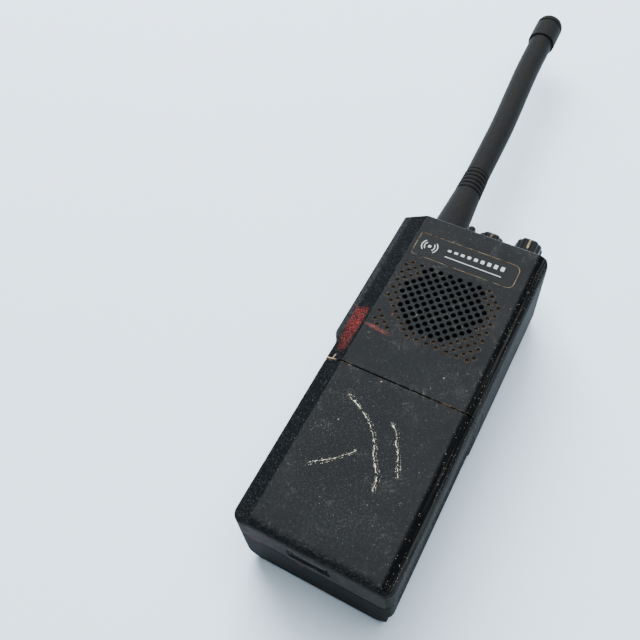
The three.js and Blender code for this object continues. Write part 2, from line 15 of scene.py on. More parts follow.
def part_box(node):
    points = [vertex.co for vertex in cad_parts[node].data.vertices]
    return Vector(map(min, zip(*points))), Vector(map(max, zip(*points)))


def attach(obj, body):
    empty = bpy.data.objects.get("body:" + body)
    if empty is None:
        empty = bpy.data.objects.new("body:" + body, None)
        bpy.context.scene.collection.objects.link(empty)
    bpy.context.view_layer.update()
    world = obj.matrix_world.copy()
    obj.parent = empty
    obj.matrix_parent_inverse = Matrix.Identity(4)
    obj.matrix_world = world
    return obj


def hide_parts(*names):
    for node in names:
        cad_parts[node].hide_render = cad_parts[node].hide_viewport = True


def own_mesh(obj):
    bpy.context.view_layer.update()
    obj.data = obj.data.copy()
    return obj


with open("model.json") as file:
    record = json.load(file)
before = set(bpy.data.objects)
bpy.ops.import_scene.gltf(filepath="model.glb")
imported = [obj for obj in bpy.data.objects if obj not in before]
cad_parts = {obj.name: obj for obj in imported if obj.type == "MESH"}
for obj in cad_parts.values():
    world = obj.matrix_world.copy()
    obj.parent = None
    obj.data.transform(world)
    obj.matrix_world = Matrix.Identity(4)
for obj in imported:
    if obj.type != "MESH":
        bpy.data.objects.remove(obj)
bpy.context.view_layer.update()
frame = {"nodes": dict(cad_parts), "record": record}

MM = 0.001
HALF_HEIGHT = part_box("front_housing")[1].y / MM     # the frame's origin is at mid height


def at(x, y, z):
    """A design point in millimetres as a point in the frame in metres."""
    return Vector((x, y - HALF_HEIGHT, z)) * MM


class Span:
    """The box of a CAD node in design millimetres."""

    def __init__(self, node):
        low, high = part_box(node)
        self.x0, self.x1 = low.x / MM, high.x / MM
        self.y0, self.y1 = low.y / MM + HALF_HEIGHT, high.y / MM + HALF_HEIGHT
        self.z0, self.z1 = low.z / MM, high.z / MM
        self.x, self.y, self.z = ((self.x0 + self.x1) / 2, (self.y0 + self.y1) / 2, (self.z0 + self.z1) / 2)


housing = Span("front_housing")
cover = Span("rear_cover")
pack_front = Span("battery_front_shell")
pack_rear = Span("battery_rear_shell")
plate = Span("nameplate")
panel = Span("side_panel")
sheath = Span("antenna_sheath")
cap = Span("antenna_cap")

# ---- Driving dimensions ----

GAP = 0.3
WALL = 2.2
LEFT, RIGHT = housing.x0, housing.x1
DEPTH = housing.z1
HEIGHT = housing.y1
SEAM_Y = (housing.y0 + pack_front.y1) / 2
REAR_SEAM_Y = (cover.y0 + pack_rear.y1) / 2
PARTING_Z = (pack_front.z0 + pack_rear.z1) / 2
COVER_Z = cover.z1 + GAP / 2
WAIST_LEFT = pack_front.x0
RADIO_WAIST, PACK_WAIST = (72, 78), (67, 75)   # where the left wall steps in below the talk key, in y
FAR = 9                                        # well outside the body
FLAT_LEFT = -20.6
FACET_SLOPE = 0.6
CORNERS = ((7.0, 10), (7.0, 10), (4.9, 14), (2.4, 6), (1.7, 7))     # radius and steps, as section goes round
ROUND_STEPS = 7

GRILLE = {"x": 0.8, "top": 113.5, "step": 1.89, "rows": 17, "middle": 9}
SPEAKER = {"x": 0.8, "y": 101.2, "radius": 15.6}
CONTROL_Z = 23.0
PLATE_TOP = DEPTH - 0.05                       # the print stands on it, inside the same box
SEAM_STEP = {"x": -7.6, "drop": 1.8}           # the seam on the bottom end drops towards the back
SLOT = (-6.0, 7.0, 29.7, 34.4)                 # from and to in x, then in z
RIBS = {"first": 14.8, "pitch": 2.7, "half": 0.6, "depth": 0.7, "count": 4, "low": 5.0, "stop": 6.0}
BELLY = {"inset": 1.6, "top": 12.0, "radius": 5.0}
TONGUE = {"x": 19.0, "z": 8.0}
SMALL_KEY = {"z": 20.6, "tip": (2.9, 4.8), "reach": (-3.4, -0.5), "swell": (-0.6, 4.9)}
KEYS = {
    "talk_key": {"y": 93.2, "z": 20.6, "tip": (16.2, 4.6), "reach": (-15.6, 13.2), "swell": (4.0, 3.4)},
    "side_key_1": {"y": 115.6, **SMALL_KEY},
    "side_key_2": {"y": 124.4, **SMALL_KEY},
}

# ---- Outlines ----


def frange(first, last, steps):
    return [first + (last - first) * step / steps for step in range(steps + 1)]


def ease(value, low, high):
    """0 below low, 1 above high, and a smooth step between."""
    share = min(max((value - low) / (high - low), 0.0), 1.0)
    return share * share * (3 - 2 * share)


def bend(cx, cy, radius, start, end, steps):
    """Points along an arc, angles in degrees from +X."""
    return [(cx + radius * math.cos(math.radians(angle)), cy + radius * math.sin(math.radians(angle)))
            for angle in frange(start, end, steps)]


def fillet(before, corner, after, radius, steps):
    """Points of the arc that rounds a corner of a counter-clockwise outline."""
    corner = Vector(corner)
    back, on = ((Vector(other) - corner).normalized() for other in (before, after))
    half = back.angle(on) / 2
    centre = corner + (back + on).normalized() * (radius / math.sin(half))
    start = math.degrees(math.atan2(back.x, -back.y))
    return bend(*centre, radius, start, start + 180 - 2 * math.degrees(half), steps)


def section(inset=0.0, left=LEFT):
    """Cross-section of the body in (x, z), counter-clockwise from the back left corner."""
    lean = math.hypot(1, FACET_SLOPE)
    x0, x1, z1 = left + inset, RIGHT - inset, DEPTH - inset
    facet_right = FLAT_LEFT + inset * (lean - 1) / FACET_SLOPE
    facet_low = DEPTH - inset * lean + FACET_SLOPE * (x0 - FLAT_LEFT)
    ring = [(x0, inset), (x1, inset), (x1, z1), (facet_right, z1), (x0, facet_low)]
    points = []
    for index, (radius, steps) in enumerate(CORNERS):
        before, after = ring[index - 1], ring[(index + 1) % len(ring)]
        points += fillet(before, ring[index], after, max(radius - inset, 0.12), steps)
    return [(round(x, 4), round(z, 4)) for x, z in points]  # for flat walls


def rounded_box(x0, x1, y0, y1, radii, steps=5):
    """A rectangle counter-clockwise, with the radii of its lower right, upper right and left corners."""
    points = []
    for x, y, turn, radius in zip((x1, x1, x0, x0), (y0, y1, y1, y0), (-90, 0, 90, 180), radii):
        cx = x - radius if x == x1 else x + radius
        cy = y + radius if y == y0 else y - radius
        points += bend(cx, cy, radius, turn, turn + 90, steps)
    return points


def growing_box(x0, x1, y0, y1, *radii, steps=5):
    """An outline for Solid.stack: a rounded box that grows. One radius stands for all four."""
    def outline(growth):
        grown = [max(radius + growth, 0.01) for radius in (radii * 4)[:4]]
        return rounded_box(x0 - growth, x1 + growth, y0 - growth, y1 + growth, grown, steps)
    return outline


def circle(cx, cy, radius, sides):
    return bend(cx, cy, radius, 0, 360, sides)[:-1]


def growing_circle(cx, cy, radius, sides):
    return lambda growth: circle(cx, cy, radius + growth, sides)


# ---- Meshes ----

PLACE = {
    "x": lambda a, b, level: (level, a, b),
    "y": lambda a, b, level: (a, level, b),
    "z": lambda a, b, level: (a, b, level),
}


def link(name, data):
    """A new object in the scene."""
    made = bpy.data.objects.new(name, data)
    bpy.context.scene.collection.objects.link(made)
    return made


class Solid:
    """Collects closed lofts, and turns them into one mesh object."""

    def __init__(self):
        self.vertices = []
        self.faces = []
        self.slots = []

    def skin(self, rings, bands, band_slots):
        """Faces between neighbouring rings of equally many points."""
        start, count = len(self.vertices), len(rings[0])
        for ring in rings:
            self.vertices += [tuple(point) for point in ring]
        for band, slot in zip(range(bands), band_slots):
            a, b = start + band * count, start + (band + 1) % len(rings) * count
            for side in range(count):
                other = (side + 1) % count
                self.faces.append((a + side, a + other, b + other, b + side))
                self.slots.append(slot)

    def loft(self, rings, band_slots=None):
        """Closed skin through rings, with a flat face on each end."""
        bands, count = len(rings) - 1, len(rings[0])
        band_slots = band_slots or [0] * bands
        start = len(self.vertices)
        self.skin(rings, bands, band_slots)
        self.faces.append(tuple(range(start + count - 1, start - 1, -1)))
        self.faces.append(tuple(range(start + bands * count, start + len(rings) * count)))
        self.slots += [band_slots[0], band_slots[-1]]
        return self

    def stack(self, axis, outline, levels, band_slots=None):
        """A loft of one outline that grows and shrinks: levels are (place on the axis, growth)."""
        rings = [[PLACE[axis](a, b, level) for a, b in outline(growth)] for level, growth in levels]
        return self.loft(rings, band_slots)

    def hoop(self, rings):
        """Closed skin round a ring: the last outline joins the first."""
        self.skin(rings, len(rings), [0] * len(rings))
        return self

    def block(self, x0, x1, y0, y1, z0, z1):
        return self.stack("z", lambda growth: [(x0, y0), (x1, y0), (x1, y1), (x0, y1)], [(z0, 0), (z1, 0)])

    def object(self, name, *materials):
        mesh = bpy.data.meshes.new(name)
        mesh.from_pydata([at(*vertex) for vertex in self.vertices], [], self.faces)
        for material in materials:
            mesh.materials.append(material)
        mesh.polygons.foreach_set("material_index", self.slots)
        tidy = bmesh.new()
        tidy.from_mesh(mesh)
        bmesh.ops.recalc_face_normals(tidy, faces=tidy.faces)
        tidy.to_mesh(mesh)
        tidy.free()
        return link(name, mesh)


def settle(thing):
    """Applies the modifiers to the mesh."""
    depsgraph = bpy.context.evaluated_depsgraph_get()
    final = bpy.data.meshes.new_from_object(thing.evaluated_get(depsgraph))
    thing.modifiers.clear()
    old, thing.data = thing.data, final
    bpy.data.meshes.remove(old)
    return thing


def combine(thing, tool):
    """Takes the tool away, exactly. The cut faces keep the tool's material."""
    step = thing.modifiers.new("combine", "BOOLEAN")
    step.operation = "DIFFERENCE"
    step.solver = "EXACT"
    step.material_mode = "TRANSFER"
    step.object = tool
    settle(thing)
    bpy.data.objects.remove(tool)
    return thing


def cut(thing, solid, material):
    combine(thing, solid.object("tool", material))


SHARP_ANGLE = math.radians(30)


def smooth(thing):
    """Smooth faces, with sharp edges only where the surface really turns."""
    mesh = bmesh.new()
    mesh.from_mesh(thing.data)
    bmesh.ops.remove_doubles(mesh, verts=mesh.verts, dist=1e-7)
    bmesh.ops.dissolve_degenerate(mesh, edges=mesh.edges, dist=1e-7)
    for face in mesh.faces:
        face.smooth = True
    for edge in mesh.edges:
        if len(edge.link_faces) == 2:
            edge.smooth = edge.calc_face_angle(0.0) < SHARP_ANGLE
    mesh.to_mesh(thing.data)
    mesh.free()
    weigh = thing.modifiers.new("weigh", "WEIGHTED_NORMAL")
    weigh.keep_sharp = True
    weigh.weight = 60
    return settle(thing)


def finish_piece(thing, body, slot, *nodes):
    """Puts a finished piece on its body, in place of its CAD nodes if it has any."""
    smooth(thing)
    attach(thing, body)
    if nodes:
        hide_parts(*nodes)


# ---- Materials ----


def add_node(tree, kind, *values, **settings):
    """A new shader node: values go to its first inputs, settings to its properties."""
    node = tree.nodes.new("ShaderNode" + kind)
    for name, setting in settings.items():
        setattr(node, name, setting)
    for socket, value in zip(node.inputs, values):
        put(tree, socket, value)
    return node


def put(tree, socket, value):
    """Links or sets an input."""
    value = getattr(value, "socket", value)
    if isinstance(value, bpy.types.NodeSocket):
        tree.links.new(value, socket)
    elif hasattr(value, "__len__") and len(value) == 3 and len(socket.default_value) == 4:
        socket.default_value = (*value, 1.0)
    else:
        socket.default_value = value


def smooth_step(tree, *values):
    """Maps a value from a range to another: value, from, from, to, to."""
    return add_node(tree, "MapRange", *values, interpolation_type="SMOOTHSTEP").outputs["Result"]


def fill(tree, node, **inputs):
    """Links or sets inputs by their names."""
    for name, value in inputs.items():
        put(tree, node.inputs[name.replace("_", " ")], value)
    return node


class Value:
    """An output of a node. Arithmetic adds nodes; & and | join two masks."""

    def __init__(self, look, socket):
        self.look, self.socket = look, socket

    def __add__(self, other):
        return self.look.math("ADD", self, other)

    def __sub__(self, other):
        return self.look.math("SUBTRACT", self, other)

    def __rsub__(self, other):
        return self.look.math("SUBTRACT", other, self)

    def __mul__(self, other):
        return self.look.math("MULTIPLY", self, other)

    def __and__(self, other):
        return self.look.math("MULTIPLY", self, other, use_clamp=True)

    def __or__(self, other):
        return self.look.math("MAXIMUM", self, other)

    def __abs__(self):
        return self.look.math("ABSOLUTE", self)

    def ramp(self, low, high, to_low=0.0, to_high=1.0):
        """Smooth step from low to high; high may be the lower one."""
        if high < low:
            low, high, to_low, to_high = high, low, to_high, to_low
        return Value(self.look, smooth_step(self.look.tree, self, low, high, to_low, to_high))


class Look:
    """A node material, with short calls for the nodes it is made of."""

    def __init__(self, name):
        self.material = bpy.data.materials.new(name)
        self.material.use_nodes = True
        self.tree = self.material.node_tree
        self.tree.nodes.clear()
        self.shader = add_node(self.tree, "BsdfPrincipled")
        add_node(self.tree, "OutputMaterial", self.shader.outputs["BSDF"])
        coordinates = add_node(self.tree, "TexCoord")
        self.place = self.vector("SCALE", coordinates.outputs["Object"], scale=1 / MM)
        split = add_node(self.tree, "SeparateXYZ", self.place)
        self.x, self.y, self.z = (Value(self, output) for output in split.outputs)
        self.y += HALF_HEIGHT                      # from the bottom end
        self.colour = None

    def set(self, **values):
        fill(self.tree, self.shader, **values)

    def math(self, operation, *values, use_clamp=False):
        node = add_node(self.tree, "Math", *values, operation=operation, use_clamp=use_clamp)
        return Value(self, node.outputs[0])

    def vector(self, operation, *values, scale=None):
        node = add_node(self.tree, "VectorMath", *values, operation=operation)
        if scale:
            node.inputs["Scale"].default_value = scale
        return Value(self, node.outputs["Value" if operation in ("LENGTH", "DOT_PRODUCT") else "Vector"])

    def noise(self, scale, detail=3.0, rough=0.55, stretch=None, place=None, output="Fac"):
        """Cloudy noise; scale is features per millimetre."""
        place = place or self.place
        node = add_node(self.tree, "TexNoise", self.vector("MULTIPLY", place, stretch) if stretch else place)
        fill(self.tree, node, Scale=scale, Detail=detail, Roughness=rough)
        return Value(self, node.outputs[output])

    def specks(self, scale, size, share):
        """Round specks: size in cells, share of the cells that have one."""
        node = fill(self.tree, add_node(self.tree, "TexVoronoi", self.place), Scale=scale)
        chance = add_node(self.tree, "SeparateXYZ", node.outputs["Color"]).outputs["X"]
        spot = Value(self, node.outputs["Distance"]).ramp(size, size * 0.5)
        return spot * self.math("LESS_THAN", chance, share)

    def hairlines(self, scale, angle):
        """Fine straight scratches that lie about one way; angle in degrees from +X."""
        turn = add_node(self.tree, "VectorRotate", self.place, rotation_type="Z_AXIS")
        turn.inputs["Angle"].default_value = math.radians(-angle)
        length = 18.0
        waves = self.noise(scale * 3, 1.0, 0.5, (1 / length, 1.0, 1 / length), turn.outputs["Vector"])
        return abs(waves - 0.5).ramp(0.012, 0.0) & self.noise(0.13, 3.0, 0.6).ramp(0.56, 0.62)

    def wander(self, scale, reach):
        """A slow shift of place, by up to half of reach."""
        shift = self.vector("SUBTRACT", self.noise(scale, 2.0, 0.5, output="Color"), (0.5, 0.5, 0.5))
        return self.vector("SCALE", shift, scale=reach)

    def arc(self, middle, radius, width, keep):
        """A wavering scratch of three strands along a circle on the front; keep is its angles from +X."""
        spot = self.vector("ADD", self.place, self.wander(0.12, 5.0))
        spot = self.vector("ADD", spot, self.wander(1.1, 0.9))
        spot = self.vector("SUBTRACT", spot, (middle[0], middle[1] - HALF_HEIGHT, 0))
        flat = self.vector("MULTIPLY", spot, (1.0, 1.0, 0.0))
        reach = self.vector("LENGTH", flat)
        start, end = (math.radians(angle) for angle in keep)
        bisector = (math.cos((start + end) / 2), math.sin((start + end) / 2), 0.0)
        facing = self.vector("DOT_PRODUCT", self.vector("NORMALIZE", flat), bisector)
        limit = math.cos((end - start) / 2)
        within = facing.ramp(limit - 0.004, limit + 0.004)
        strands = []
        for offset, scale, share in ((0.0, 0.9, 0.52), (0.8, 1.9, 0.6), (-0.5, 2.3, 0.62)):
            thick = self.noise(0.35 * scale, 3.0, 0.7).ramp(0.35, 0.65, 0.25 * width, width)
            core = self.math("LESS_THAN", abs(reach - (radius + offset)), thick)
            strands.append(core & self.noise(scale, 5.0, 0.8).ramp(share - 0.06, share))
        return (strands[0] | strands[1] | strands[2]) & within

    def stroke(self, start, end, width):
        """A short straight mark between two (x, y) points of the front."""
        length = math.dist(start, end)
        along = ((end[0] - start[0]) / length, (end[1] - start[1]) / length, 0.0)
        spot = self.vector("SUBTRACT", self.place, (start[0], start[1] - HALF_HEIGHT, 0))
        reach = self.vector("DOT_PRODUCT", spot, along)
        aside = abs(self.vector("DOT_PRODUCT", spot, (-along[1], along[0], 0.0)))
        return aside.ramp(width, width / 2) & reach.ramp(0.0, 0.3) & reach.ramp(length, length - 0.3)

    def mix(self, share, a, b):
        node = fill(self.tree, add_node(self.tree, "Mix", data_type="RGBA"), Factor=share, A=a, B=b)
        return Value(self, node.outputs["Result"])

    def paint(self, share, colour):
        """Lays a colour over what is there."""
        self.colour = self.mix(share, self.colour, colour)

    def bump(self, height, depth, strength=1.0):
        """Raises the surface by height times depth millimetres."""
        node = add_node(self.tree, "Bump")
        fill(self.tree, node, Strength=strength, Distance=depth * MM, Height=height)
        self.set(Normal=node.outputs["Normal"])


PLASTIC = (0.0035, 0.0042, 0.0050)
PLASTIC_PALE = (0.014, 0.016, 0.0175)
PLASTIC_WORN = (0.030, 0.033, 0.036)
BARE = (0.075, 0.074, 0.067)
TAN = (0.20, 0.155, 0.10)
DUST = (0.34, 0.33, 0.29)
RED = (0.22, 0.031, 0.028)
SCRATCH = (0.52, 0.50, 0.40)


def moulded(name, *layers):
    """Fine-grained moulded plastic with handling marks, dust and a little grime, and more layers on top."""
    look = Look(name)
    grain = look.noise(2.6, 4.0, 0.7)
    cloud = look.noise(0.06, 4.0, 0.6)
    scuff = look.noise(0.5, 6.0, 0.72, stretch=(1.0, 2.2, 1.0)).ramp(0.56, 0.78)
    look.colour = PLASTIC
    look.paint(grain.ramp(0.42, 0.8) & cloud.ramp(0.25, 0.75, 0.35, 1.0), PLASTIC_PALE)
    look.paint(scuff & cloud.ramp(0.45, 0.7, 0.0, 0.5), BARE)
    look.paint((look.hairlines(0.5, 37) | look.hairlines(0.35, -64)) * 0.5, BARE)
    look.paint(look.noise(1.3, 5.0, 0.8).ramp(0.5, 0.75) & cloud.ramp(0.2, 0.7, 0.3, 0.9), PLASTIC_WORN)
    look.paint(look.specks(0.9, 0.14, 0.2) & cloud.ramp(0.4, 0.6, 0.0, 0.6), DUST)
    look.paint(look.specks(1.6, 0.2, 0.13) * 0.28, DUST)
    look.paint(look.specks(0.16, 0.05, 0.3), TAN)
    for layer in layers:
        layer(look)
    side = abs(look.x + 0.4).ramp(RIGHT - 4.9, RIGHT - 3.2)
    matt = look.y.ramp(3.5, 1.0) | (side | on_facet(look)) * 0.9
    look.set(Base_Color=look.colour, Roughness=grain * 0.22 + scuff * 0.12 + 0.32 + matt * 0.27,
             Specular_IOR_Level=matt.ramp(0.0, 1.0, 0.5, 0.055))
    look.bump(grain - scuff * 0.5, 0.022, 0.6)
    return look.material


def plain(name, colour, rough=0.5, metal=0.0, grain=1.5, spread=0.25, depth=0.02, specular=0.5):
    """A simpler surface with some variation, for inner pieces and trim."""
    look = Look(name)
    cloud = look.noise(grain, 4.0, 0.6)
    dark = tuple(channel * (1 - spread) for channel in colour)
    light = tuple(min(1.0, channel * (1 + spread)) for channel in colour)
    look.set(Base_Color=look.mix(cloud.ramp(0.3, 0.7), dark, light), Metallic=metal,
             Specular_IOR_Level=specular, Roughness=cloud.ramp(0.2, 0.8, rough - 0.08, rough + 0.08))
    look.bump(cloud, depth)
    return look.material


def on_facet(look):
    return look.x.ramp(FLAT_LEFT + 0.2, FLAT_LEFT - 0.5)


def sides_shade_and_lines(look):
    """Painted shade: the rounding along the right side is darkened almost to black, and both side walls are
    darkened; fine lengthwise lines along both side walls on top.
    """
    # Painted shade: the rounding along the right side, darkened almost to black.
    look.paint(look.x.ramp(RIGHT - 4.9, RIGHT - 3.4) * 0.85, (0.0012, 0.0014, 0.0017))
    side = look.x.ramp(LEFT + 1.2, LEFT + 0.2) | look.x.ramp(RIGHT - 3.8, RIGHT - 1.3)
    lines = look.noise(2.0, 3.0, 0.65, stretch=(0.3, 0.015, 1.0)).ramp(0.45, 0.62)
    # Painted shade: both side walls darkened.
    look.paint(side * 0.7, (0.0015, 0.0017, 0.002))
    look.paint((side & lines) * 0.32, BARE)


def dusty_band(look):
    """Pale specks gather on the rounding along the right side."""
    dots = look.specks(0.9, 0.15, 0.22) | look.specks(1.6, 0.2, 0.3)
    look.paint((look.x.ramp(RIGHT - 6.0, RIGHT - 3.5) & dots) * 0.7, DUST)


def facet_grain_and_shade(look):
    """The facet keeps the sharp grain of the mould, which the flat front has lost: painted shade darkens the
    whole facet almost to black, and pale grain specks lie on it.
    """
    sparks = look.noise(1.9, 2.0, 0.6).ramp(0.56, 0.70) & look.z.ramp(34.0, 37.0, 0.3, 1.0)
    # Painted shade: the whole facet darkened almost to black.
    look.paint(on_facet(look) * 0.85, (0.0012, 0.0015, 0.0018))
    look.paint((on_facet(look) & sparks) * 0.6, (0.045, 0.051, 0.056))


def seam_grime(look):
    """Tan dirt in the skin along the seam between radio and pack, and two cracks at its left end."""
    x, z = look.x, look.z
    under_facet = x * FACET_SLOPE + (DEPTH - FACET_SLOPE * FLAT_LEFT) - z
    depths = (DEPTH - z, under_facet, x - LEFT, RIGHT - x)
    front, facet, left, right = (depth.ramp(0.9, 0.5) for depth in depths)
    near = abs(look.y - SEAM_Y).ramp(0.55, 0.1)
    patches = look.noise(0.35, 5.0, 0.7).ramp(0.48, 0.64, 0.0, 0.85)
    cracks = look.stroke((-24.9, 64.7), (-24.5, 67.2), 0.3) | look.stroke((-27.9, 65.6), (-22.9, 64.7), 0.3)
    look.paint(near & patches & (front | facet | left | right) | cracks & z.ramp(35.0, 36.0), TAN)


def facet_edge_highlight(look):
    """Painted highlight: a pale bluish band along the rounded left edge, broken up by noise."""
    edge = look.x.ramp(FLAT_LEFT - 5.6, FLAT_LEFT - 7.6) & look.noise(0.9, 5.0, 0.7).ramp(0.3, 0.7)
    # Painted highlight along the left edge.
    look.paint(edge * 0.25, (0.08, 0.088, 0.095))


def red_smear(look):
    """Red paint rubbed onto the left facet, with a streak and a few spots beside it."""
    x, y, z = look.x, look.y, look.z
    ragged = (look.noise(0.25, 4.0, 0.65) - 0.5) * 7.0
    leaning = x + (y - HALF_HEIGHT) * 0.133 + ragged * 0.6
    across = (x + ragged * 0.3).ramp(-21.2, -22.4) & leaning.ramp(-25.9, -24.3)
    along = y.ramp(67.5, 71) & (y + ragged * 1.2).ramp(91, 87) & y.ramp(70, 84, 0.5, 1.0)
    facet = x.ramp(FLAT_LEFT - 0.8, FLAT_LEFT - 1.6) & z.ramp(35.2, 36.4)
    dots = look.noise(1.7, 4.0, 0.85).ramp(0.44, 0.65)
    from_line = abs(y + x * 0.11 - 79.9 + ragged * 0.15)
    streak = from_line.ramp(1.1, 0.3) & x.ramp(-20.8, -20.0) & x.ramp(-9.0, -14.0)
    beside = x.ramp(-8.0, -12.0) & y.ramp(74, 76) & y.ramp(92, 90)
    spots = look.specks(0.3, 0.12, 0.4) & beside
    look.paint((across & along & facet & dots | streak & dots | spots) * 0.9, RED)


def worn_foot(look):
    """Fine dust low on the front and worn patches round the edge of the bottom end."""
    low = look.y.ramp(30, 8) & look.noise(0.09, 4.0, 0.6).ramp(0.46, 0.62)
    dots = look.specks(1.9, 0.2, 0.4) | look.specks(3.1, 0.24, 0.5)
    look.paint((low & dots) * 0.30, DUST)
    edge = look.y.ramp(4.5, 1.5) & look.z.ramp(PARTING_Z, DEPTH - 6)
    look.paint((edge & look.noise(0.7, 5.0, 0.8).ramp(0.50, 0.62)) * 0.6, (0.026, 0.025, 0.024))


def parting_grime_and_shade(look):
    """Dark dirt with a little red in it along the parting line of the pack's bottom end, pale scuffs above
    the line, and painted shade below it on the part of the end nearest the floor.
    """
    z = look.z + look.x.ramp(SEAM_STEP["x"] - 0.1, SEAM_STEP["x"] + 0.1, 0.0, SEAM_STEP["drop"])
    end = look.y.ramp(2.0, 1.0)
    line = abs(z - PARTING_Z).ramp(0.9, 0.5) & end
    lower = z.ramp(PARTING_Z, PARTING_Z - 0.6) & end
    upper = z.ramp(PARTING_Z, PARTING_Z + 0.6) & look.y.ramp(0.55, 0.2)
    scuffed = look.noise(0.8, 5.0, 0.75, stretch=(0.35, 1.0, 1.0)).ramp(0.45, 0.70)
    # Painted shade: the end below the parting line, nearest the floor, darkened almost to black.
    look.paint(lower * 0.8, (0.0022, 0.0022, 0.0022))
    look.paint(upper * 0.85, look.mix(scuffed, (0.022, 0.019, 0.0175), (0.060, 0.052, 0.048)))
    look.paint(line, (0.0008, 0.0007, 0.0006))
    look.paint((line & look.noise(0.2, 3.0, 0.6).ramp(0.52, 0.6) & look.x.ramp(2.0, -6.0)) * 0.5, RED)


# Middle, radius, width and angle range of each scratch, in design millimetres and degrees from +X.
SCRATCH_ARCS = (
    ((-34, 14), 46, 0.22, (17, 62)),
    ((-34, 14), 53, 0.17, (24, 43)),
    ((-30, 60), 37, 0.17, (296, 321)),
)


def pack_scratches(look):
    """Long pale scratches across the lower front; they spell nothing."""
    first, second, third = (look.arc(*form) for form in SCRATCH_ARCS)
    look.paint((first | second | third) & look.z.ramp(DEPTH - 1.5, DEPTH - 0.5), SCRATCH)


SKIN = (sides_shade_and_lines, dusty_band, facet_grain_and_shade, seam_grime, facet_edge_highlight)
housing_look = moulded("housing plastic", *SKIN, red_smear)
pack_look = moulded("pack plastic", *SKIN, worn_foot, parting_grime_and_shade, pack_scratches)
cover_look = moulded("cover plastic")
rim_look = plain("hole rim dirt", (0.055, 0.043, 0.030), 0.8, grain=0.5, spread=0.7)
deep_look = plain("hole wall", (0.006, 0.006, 0.006), 0.9)
fill_look = plain("hole dirt", (0.028, 0.021, 0.015), 0.9, grain=2.0, spread=0.7)
groove_look = plain("groove dirt", (0.12, 0.10, 0.065), 0.85, grain=0.35, spread=0.9)
border_look = plain("plate edge dirt", (0.080, 0.066, 0.044), 0.85, grain=0.35, spread=0.95)
inside_look = plain("shell inside", (0.02, 0.022, 0.024), 0.7)
plate_look = plain("nameplate satin", (0.008, 0.0085, 0.0092), 0.38, grain=2.5, spread=0.2, specular=0.42)
panel_look = plain("panel plastic", (0.006, 0.0066, 0.0074), 0.6, grain=2.5, specular=0.2)
knob_look = plain("knob plastic", (0.005, 0.0055, 0.006), 0.36, grain=1.2, spread=0.3)
key_look = plain("key rubber", (0.055, 0.055, 0.042), 0.75, grain=1.0, spread=0.2, depth=0.03, specular=0.25)
sheath_look = plain("antenna rubber", (0.0125, 0.0129, 0.0130), 0.55, grain=1.2, spread=0.2, specular=0.05)
print_look = plain("pale print", (0.33, 0.35, 0.36), 0.5, grain=3.0, spread=0.15)
steel_look = plain("plated steel", (0.45, 0.46, 0.48), 0.32, 1.0)
lens_look = plain("lamp lens", (0.006, 0.004, 0.004), 0.35)

# ---- Body shells ----


def hole(surface, edge, end):
    """Levels of a hole with a bevelled rim, from outside the surface to the hole's end."""
    sign = math.copysign(1, end - surface)
    return [(surface - sign, edge), (surface, edge), (surface + sign * edge, 0), (end, 0)]


def shell_skin(low, high, low_round, high_round, waist, wall=0.0):
    """Rings of a body shell: rounded towards each end, and narrower below the waist.

    A rounding is a function of a point's height z, so the rim can be softer in front.
    """
    first, last = (edge + sign * (max(rounding(0), rounding(DEPTH)) + 0.2)
                   for edge, sign, rounding in ((low, 1, low_round), (high, -1, high_round)))
    heights = [y for y in (*frange(*waist, 6), low + 8, (low + high) / 2, high - 8) if first < y < last]
    stations = [(low, low_round, share) for share in frange(0, 1, ROUND_STEPS)]
    stations += [(y, even(0), 1.0) for y in sorted(heights)]
    stations += [(high, high_round, share) for share in frange(1, 0, ROUND_STEPS)]
    rings = []
    for y, rounding, share in stations:
        left = WAIST_LEFT + ease(y, *waist) * (LEFT - WAIST_LEFT)      # steps in below the talk key
        ring = []
        for index, (x, z) in enumerate(section(wall, left)):
            inset = rounding(z) * (1 - math.sin(share * math.pi / 2))
            shift = rounding(z) * (1 - math.cos(share * math.pi / 2))
            if inset > 1e-6:
                x, z = section(wall + inset, left)[index]
            ring.append((x, y + (shift if y == low else -shift), z))
        rings.append(ring)
    return rings


def even(radius):
    return lambda z: radius


def grille_cutter():
    """The diamond pattern of holes: open over the speaker, blind and filled with dirt round it."""
    flare = 0.13
    cutter = Solid()
    for row, column in itertools.product(range(GRILLE["rows"]), range(-1, 20)):
        over_speaker = row - 10 <= column <= row + 16
        over_mic = row >= 13 and column <= row - 14
        if (column + row) % 2 or not (over_speaker or over_mic):
            continue
        x = GRILLE["x"] + (column - GRILLE["middle"]) * GRILLE["step"]
        y = GRILLE["top"] - row * GRILLE["step"]
        through = over_speaker and math.hypot(x - SPEAKER["x"], y - SPEAKER["y"]) < SPEAKER["radius"]
        radius, deep, slots = (0.92, WALL + 1.5, (1, 1, 3, 3)) if through else (0.74, 0.75, (2, 1, 0, 0))
        levels = [(DEPTH - deep, 0), (DEPTH - deep + 0.1, 0)]
        levels += [(DEPTH - flare, 0), (DEPTH, flare), (DEPTH + 1, flare)]
        cutter.stack("z", growing_circle(x, y, radius, 20), levels, slots)
    return cutter.object("grille cutter", rim_look, deep_look, fill_look, housing_look)


# The nameplate has full corners on the right, tight ones on the left.
plate_outline = growing_box(plate.x0, plate.x1, plate.y0, plate.y1, 2.2, 2.6, 0.7, 0.9, steps=8)
PLATE_GROOVE = 0.2


def front_cutters():
    """Recess of the nameplate and opening of the side panel, with softened edges."""
    edge = 0.18
    fit, flare = PLATE_GROOVE, PLATE_GROOVE + edge / 2
    levels = [(DEPTH - 0.9, fit), (DEPTH - edge / 2, fit), (DEPTH, flare), (DEPTH + 1, flare)]
    plate_cut = Solid().stack("z", plate_outline, levels)
    panel_cut = Solid().stack(
        "x", growing_box(panel.y0 - GAP, panel.y1 + GAP, panel.z0 - GAP, panel.z1 + GAP, 2.0, steps=8),
        hole(LEFT, edge, LEFT + WALL + 1))
    return [plate_cut.object("plate cutter", groove_look), panel_cut.object("panel cutter", inside_look)]


